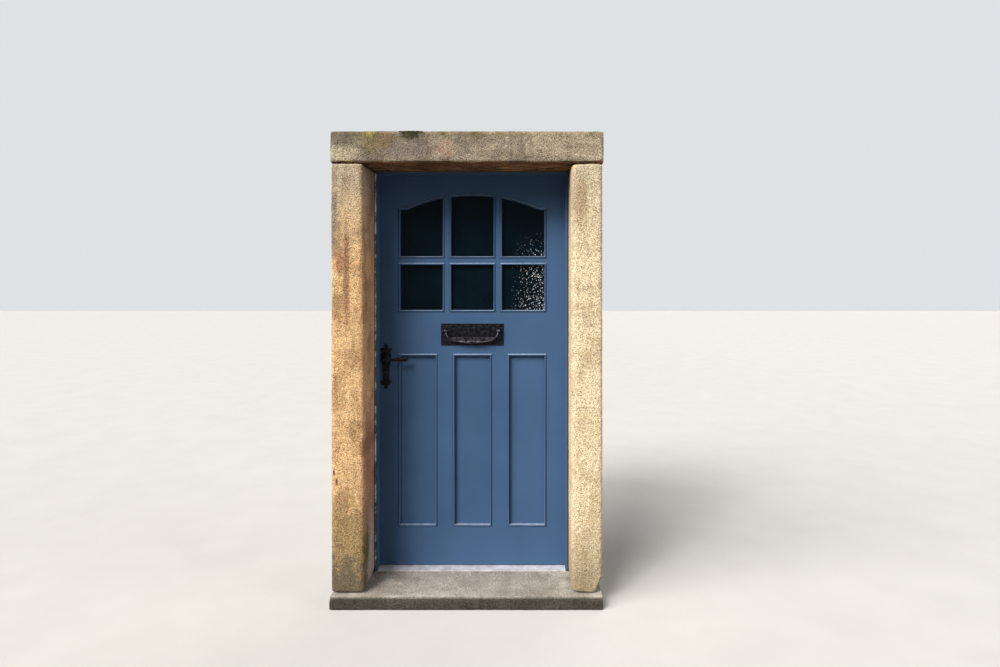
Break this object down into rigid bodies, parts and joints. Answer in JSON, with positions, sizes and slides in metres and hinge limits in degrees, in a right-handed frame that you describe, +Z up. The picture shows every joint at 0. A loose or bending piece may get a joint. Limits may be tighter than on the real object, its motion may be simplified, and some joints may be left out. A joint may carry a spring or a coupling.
{
  "type": "panelled cottage door with frame and stone surround",
  "caption": "Painted timber cottage door with arched glazed lites over tall panels, letterplate knocker and lever latch, hung in its rebated frame and dressed stone surround.",
  "frame": {"origin": "middle of the doorstep's underside, level with the stone surround's front face", "axes": "+Z up, +X to the right seen from outside (hinge side), +Y into the building"},
  "size_m": [1.21, 0.4011, 2.099],
  "materials": {
    "ochre_stone": "dressed sandstone, worn and stained",
    "pale_stone": "dressed sandstone, worn",
    "lintel_stone": "dressed sandstone, weathered grey-brown with moss",
    "grey_stone": "worn stone step",
    "blue_paint": "timber in satin blue paint",
    "obscured_glass": "dark textured glass",
    "black_iron": "hammered, black waxed",
    "steel": "dull plated",
    "brass": "dull",
    "sill_metal": "matt silver",
    "mastic": "matt pale mastic"
  },
  "bodies": {
    "surround": {"doorstep": "grey_stone", "stone_jamb_left": "ochre_stone", "stone_jamb_right": "pale_stone", "stone_lintel": "lintel_stone", "frame_jamb_lock": "blue_paint", "frame_jamb_hinge": "blue_paint", "frame_head": "blue_paint", "frame_stops": "blue_paint", "sill_plate": "sill_metal", "sill_screws": "steel", "strike_plate": "steel", "frame_screws": "steel", "frame_sealant": "mastic", "hinge_top_frame_leaf": "steel", "hinge_middle_frame_leaf": "steel", "hinge_bottom_frame_leaf": "steel", "hinge_pins": "steel"},
    "leaf": {"stile_lock": "blue_paint", "stile_hinge": "blue_paint", "top_rail": "blue_paint", "lock_rail": "blue_paint", "bottom_rail": "blue_paint", "muntin_left": "blue_paint", "muntin_right": "blue_paint", "glazing_bar_left": "blue_paint", "glazing_bar_right": "blue_paint", "cross_bar": "blue_paint", "panel_left": "blue_paint", "panel_middle": "blue_paint", "panel_right": "blue_paint", "pane_upper_left": "obscured_glass", "pane_upper_middle": "obscured_glass", "pane_upper_right": "obscured_glass", "pane_lower_left": "obscured_glass", "pane_lower_middle": "obscured_glass", "pane_lower_right": "obscured_glass", "glazing_beads": "blue_paint", "hinge_top_door_leaf": "steel", "hinge_middle_door_leaf": "steel", "hinge_bottom_door_leaf": "steel", "leaf_screws": "steel", "letterplate": "black_iron", "letterplate_bolts": "steel", "inner_letterplate": "black_iron", "flap_pins": "steel", "knocker_pins": "black_iron", "lock_case": "steel", "lock_forend": "brass", "outer_handle_plate": "black_iron", "inner_handle_plate": "black_iron", "handle_screws": "black_iron"},
    "levers": {"outer_lever": "black_iron", "inner_lever": "black_iron", "spindle": "steel", "lock_follower": "brass"},
    "latch": {"latch_bolt": "brass"},
    "dead_bolt": {"dead_bolt": "brass"},
    "letter_flap": {"letter_flap": "black_iron"},
    "inner_letter_flap": {"inner_letter_flap": "black_iron"},
    "knocker": {"knocker": "black_iron"}
  },
  "joints": [
    {"name": "leaf_swing", "type": "hinge", "parent": "surround", "child": "leaf", "pos_m": [0.4585, 0.335, 1], "axis": [0, 0, -1], "range_deg": [0, 95]},
    {"name": "lever_turn", "type": "hinge", "parent": "leaf", "child": "levers", "pos_m": [-0.415, 0.307, 1.06], "axis": [0, 1, 0], "range_deg": [0, 35], "stiffness_Nm_per_rad": 1.5, "springref_deg": -34.38},
    {"name": "latch_slide", "type": "slide", "parent": "leaf", "child": "latch", "axis": [1, 0, 0], "range_m": [0, 0.011]},
    {"name": "dead_bolt_slide", "type": "slide", "parent": "leaf", "child": "dead_bolt", "axis": [-1, 0, 0], "range_m": [0, 0.015]},
    {"name": "letter_flap_swing", "type": "hinge", "parent": "leaf", "child": "letter_flap", "pos_m": [0, 0.289, 1.202], "axis": [1, 0, 0], "range_deg": [0, 65], "stiffness_Nm_per_rad": 0.15, "springref_deg": -28.65},
    {"name": "inner_flap_swing", "type": "hinge", "parent": "leaf", "child": "inner_letter_flap", "pos_m": [0, 0.3368, 1.207], "axis": [1, 0, 0], "range_deg": [0, 85]},
    {"name": "knocker_lift", "type": "hinge", "parent": "leaf", "child": "knocker", "pos_m": [0, 0.264, 1.198], "axis": [-1, 0, 0], "range_deg": [0, 100]}
  ],
  "couplings": [
    {"joint": "latch_slide", "follows": "lever_turn", "m_per_rad": 0.018}
  ]
}
